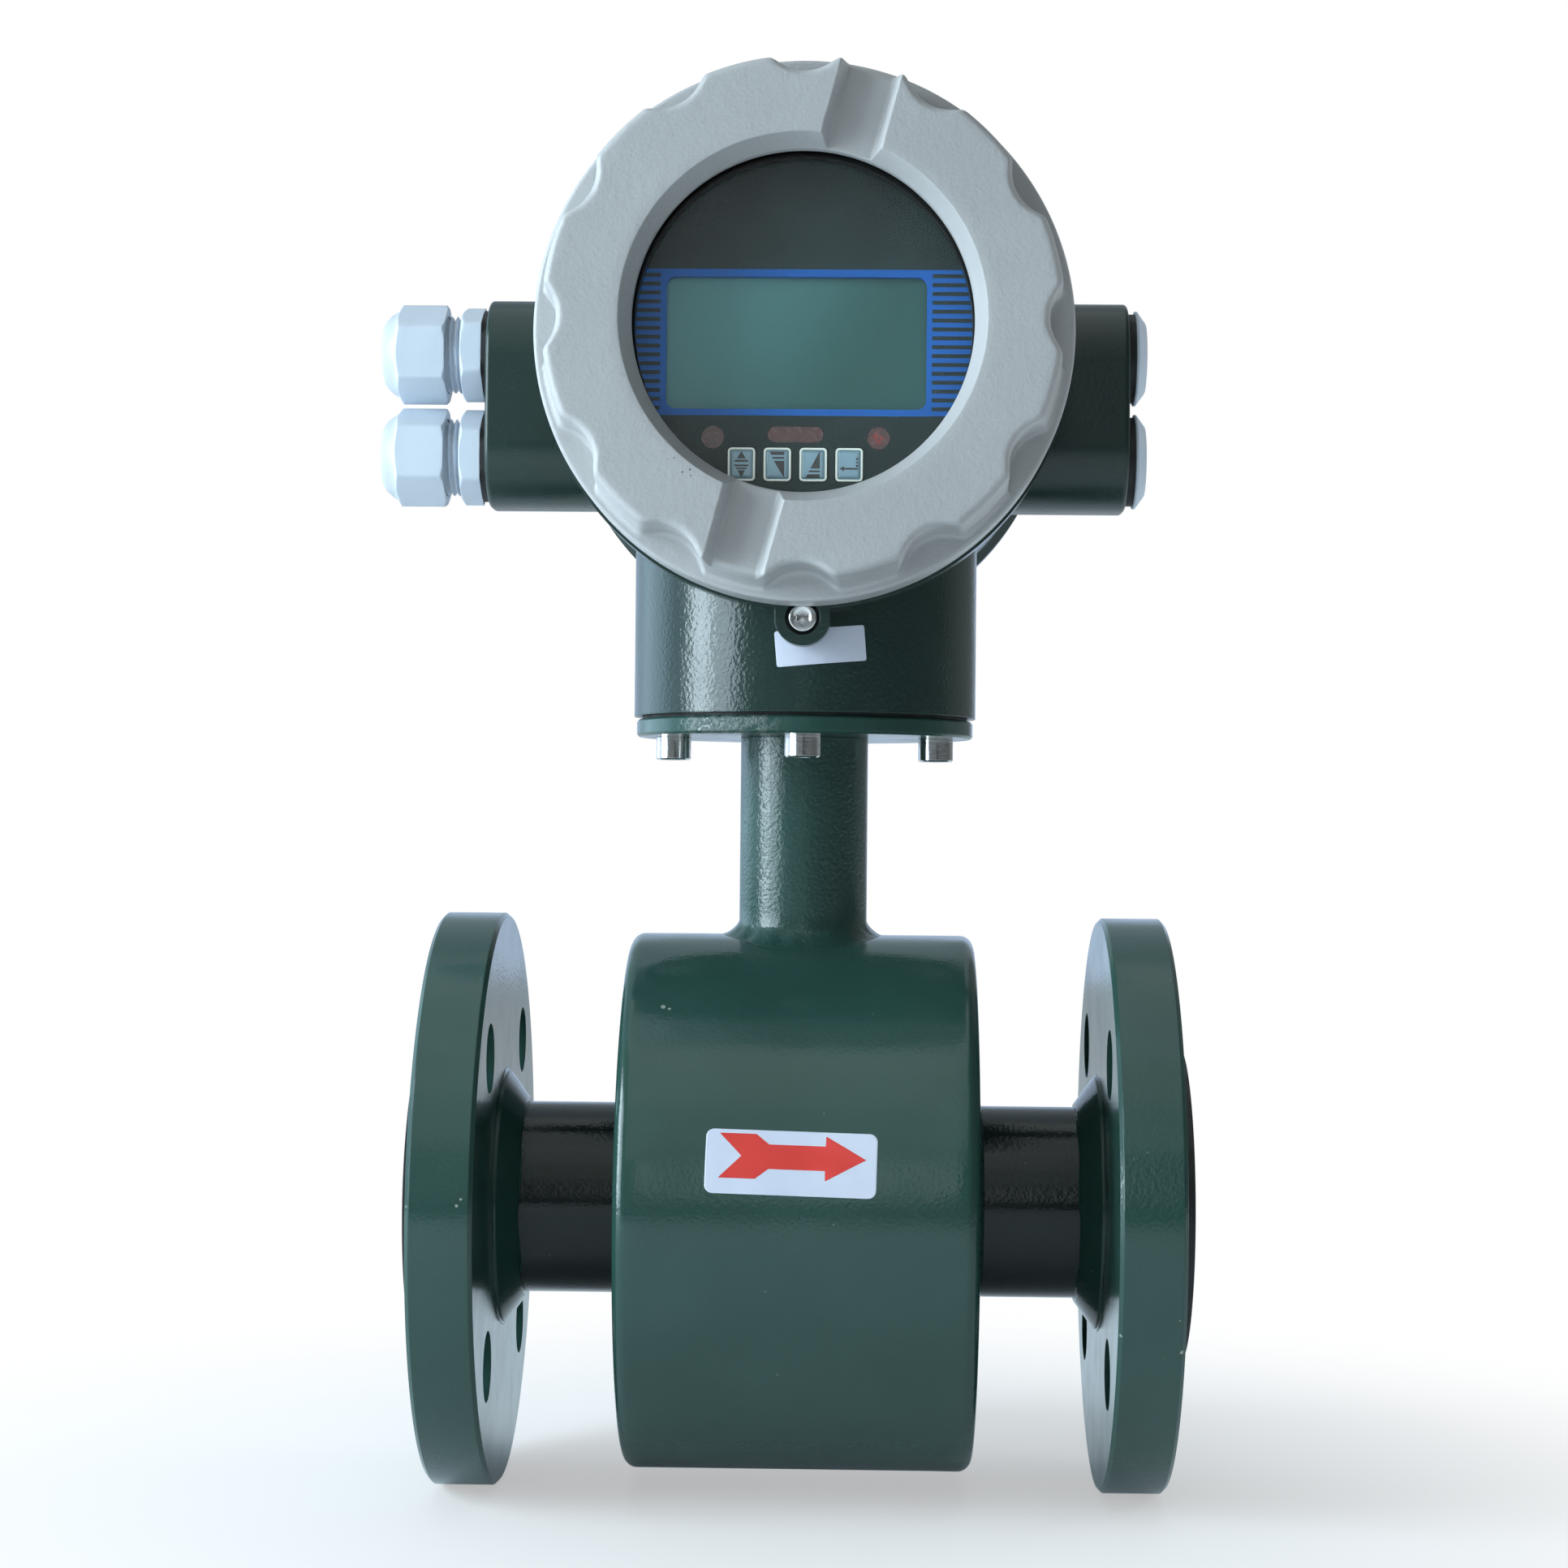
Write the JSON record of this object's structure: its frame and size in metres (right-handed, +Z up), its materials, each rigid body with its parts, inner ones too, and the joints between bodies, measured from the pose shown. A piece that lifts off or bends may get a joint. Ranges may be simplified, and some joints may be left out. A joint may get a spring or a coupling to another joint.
{
  "type": "electromagnetic flow meter",
  "caption": "Electromagnetic flow meter: flanged measuring tube in a coil drum, with a stem and a round transmitter head that has a display window, cable glands and plugs.",
  "frame": {"origin": "middle of the flow bore, where the pipe axis meets the stem axis", "axes": "+X along the pipe in the flow direction, +Z up the stem, the display faces -Y"},
  "size_m": [0.2127, 0.166, 0.3615],
  "materials": {
    "green_steel": "dark green gloss paint on welded steel",
    "green_casting": "dark green gloss paint on cast aluminium",
    "grey_casting": "light grey textured powder coat on cast aluminium",
    "liner_rubber": "black hard rubber",
    "black_rubber": "matt black rubber",
    "bright_steel": "bright stainless",
    "coil_copper": "varnished copper winding",
    "core_steel": "plain rolled steel",
    "inner_plastic": "moulded black plastic",
    "cable_jacket": "grey cable jacket",
    "clear_glass": "clear toughened glass",
    "ring_metal": "black anodised",
    "panel_print": "dark printed film",
    "red_lens": "dark red tinted",
    "key_plastic": "pale blue domed film",
    "display_glass": "unlit grey-green display",
    "circuit_board": "green solder mask",
    "post_brass": "nickel-free turned brass",
    "gland_nylon": "pale blue-white nylon",
    "plug_nylon": "pale grey nylon"
  },
  "bodies": {
    "meter": {"board_posts": "post_brass", "coil_housing": "green_steel", "display_board": "circuit_board", "display_panel": "panel_print", "electrode_bushings": "inner_plastic", "electrode_nuts": "bright_steel", "front_electrode": "bright_steel", "head_screws": "bright_steel", "head_washers": "bright_steel", "inlet_flange": "green_steel", "key_switches": "inner_plastic", "lcd_module": "display_glass", "left_sensor_window": "red_lens", "lock_screw": "bright_steel", "lower_coil": "coil_copper", "lower_gland_body": "gland_nylon", "lower_gland_washer": "black_rubber", "lower_pole_shoe": "core_steel", "main_board": "circuit_board", "measuring_tube": "green_steel", "middle_sensor_window": "red_lens", "mounting_plate": "green_steel", "neck_gasket": "black_rubber", "outlet_flange": "green_steel", "panel_screws": "bright_steel", "power_module": "inner_plastic", "rear_electrode": "bright_steel", "return_yoke": "core_steel", "right_sensor_window": "red_lens", "sensor_cable": "cable_jacket", "sensor_connector": "inner_plastic", "stem_tube": "green_steel", "terminal_block": "inner_plastic", "terminal_screws": "bright_steel", "transmitter_housing": "green_casting", "tube_liner": "liner_rubber", "upper_coil": "coil_copper", "upper_gland_body": "gland_nylon", "upper_gland_washer": "black_rubber", "upper_pole_shoe": "core_steel"},
    "front_seal": {"front_cover_seal": "black_rubber"},
    "front_cover": {"front_cover": "grey_casting", "window_gasket": "black_rubber", "window_glass": "clear_glass", "glass_retaining_ring": "ring_metal"},
    "rear_seal": {"rear_cover_seal": "black_rubber"},
    "rear_cover": {"rear_cover": "grey_casting"},
    "upper_gland_seal": {"upper_gland_seal": "black_rubber"},
    "upper_gland_nut": {"upper_gland_nut": "gland_nylon"},
    "upper_plug_washer": {"upper_plug_washer": "black_rubber"},
    "upper_plug": {"upper_plug": "plug_nylon"},
    "lower_gland_seal": {"lower_gland_seal": "black_rubber"},
    "lower_gland_nut": {"lower_gland_nut": "gland_nylon"},
    "lower_plug_washer": {"lower_plug_washer": "black_rubber"},
    "lower_plug": {"lower_plug": "plug_nylon"},
    "select_key": {"select_key": "key_plastic"},
    "down_key": {"down_key": "key_plastic"},
    "up_key": {"up_key": "key_plastic"},
    "enter_key": {"enter_key": "key_plastic"}
  },
  "joints": [
    {"name": "front_cover_travel", "type": "slide", "parent": "meter", "child": "front_seal", "axis": [0, -1, 0], "range_m": [0, 0.01252]},
    {"name": "front_cover_turn", "type": "hinge", "parent": "front_seal", "child": "front_cover", "pos_m": [0, -0.0523, 0.2195], "axis": [0, -1, 0], "range_deg": [0, 2250]},
    {"name": "rear_cover_travel", "type": "slide", "parent": "meter", "child": "rear_seal", "axis": [0, 1, 0], "range_m": [0, 0.01052]},
    {"name": "rear_cover_turn", "type": "hinge", "parent": "rear_seal", "child": "rear_cover", "pos_m": [0, 0.0463, 0.2195], "axis": [0, 1, 0], "range_deg": [0, 1890]},
    {"name": "upper_gland_nut_travel", "type": "slide", "parent": "meter", "child": "upper_gland_seal", "axis": [-1, 0, 0], "range_m": [0, 0.00488]},
    {"name": "upper_gland_nut_turn", "type": "hinge", "parent": "upper_gland_seal", "child": "upper_gland_nut", "pos_m": [-0.0957, 0, 0.22345], "axis": [-1, 0, 0], "range_deg": [0, 1170]},
    {"name": "upper_plug_travel", "type": "slide", "parent": "meter", "child": "upper_plug_washer", "axis": [1, 0, 0], "range_m": [0, 0.00939]},
    {"name": "upper_plug_turn", "type": "hinge", "parent": "upper_plug_washer", "child": "upper_plug", "pos_m": [0.084, 0, 0.22345], "axis": [1, 0, 0], "range_deg": [0, 2250]},
    {"name": "lower_gland_nut_travel", "type": "slide", "parent": "meter", "child": "lower_gland_seal", "axis": [-1, 0, 0], "range_m": [0, 0.00488]},
    {"name": "lower_gland_nut_turn", "type": "hinge", "parent": "lower_gland_seal", "child": "lower_gland_nut", "pos_m": [-0.0957, 0, 0.19605], "axis": [-1, 0, 0], "range_deg": [0, 1170]},
    {"name": "lower_plug_travel", "type": "slide", "parent": "meter", "child": "lower_plug_washer", "axis": [1, 0, 0], "range_m": [0, 0.00939]},
    {"name": "lower_plug_turn", "type": "hinge", "parent": "lower_plug_washer", "child": "lower_plug", "pos_m": [0.084, 0, 0.19605], "axis": [1, 0, 0], "range_deg": [0, 2250]},
    {"name": "select_key_press", "type": "slide", "parent": "meter", "child": "select_key", "axis": [0, 1, 0], "range_m": [0, 0.0005], "stiffness_N_per_m": 1000},
    {"name": "down_key_press", "type": "slide", "parent": "meter", "child": "down_key", "axis": [0, 1, 0], "range_m": [0, 0.0005], "stiffness_N_per_m": 1000},
    {"name": "up_key_press", "type": "slide", "parent": "meter", "child": "up_key", "axis": [0, 1, 0], "range_m": [0, 0.0005], "stiffness_N_per_m": 1000},
    {"name": "enter_key_press", "type": "slide", "parent": "meter", "child": "enter_key", "axis": [0, 1, 0], "range_m": [0, 0.0005], "stiffness_N_per_m": 1000}
  ],
  "couplings": [
    {"joint": "front_cover_travel", "follows": "front_cover_turn", "m_per_rad": 0.00031831},
    {"joint": "rear_cover_travel", "follows": "rear_cover_turn", "m_per_rad": 0.00031831},
    {"joint": "upper_gland_nut_travel", "follows": "upper_gland_nut_turn", "m_per_rad": 0.00023873},
    {"joint": "upper_plug_travel", "follows": "upper_plug_turn", "m_per_rad": 0.00023873},
    {"joint": "lower_gland_nut_travel", "follows": "lower_gland_nut_turn", "m_per_rad": 0.00023873},
    {"joint": "lower_plug_travel", "follows": "lower_plug_turn", "m_per_rad": 0.00023873}
  ]
}
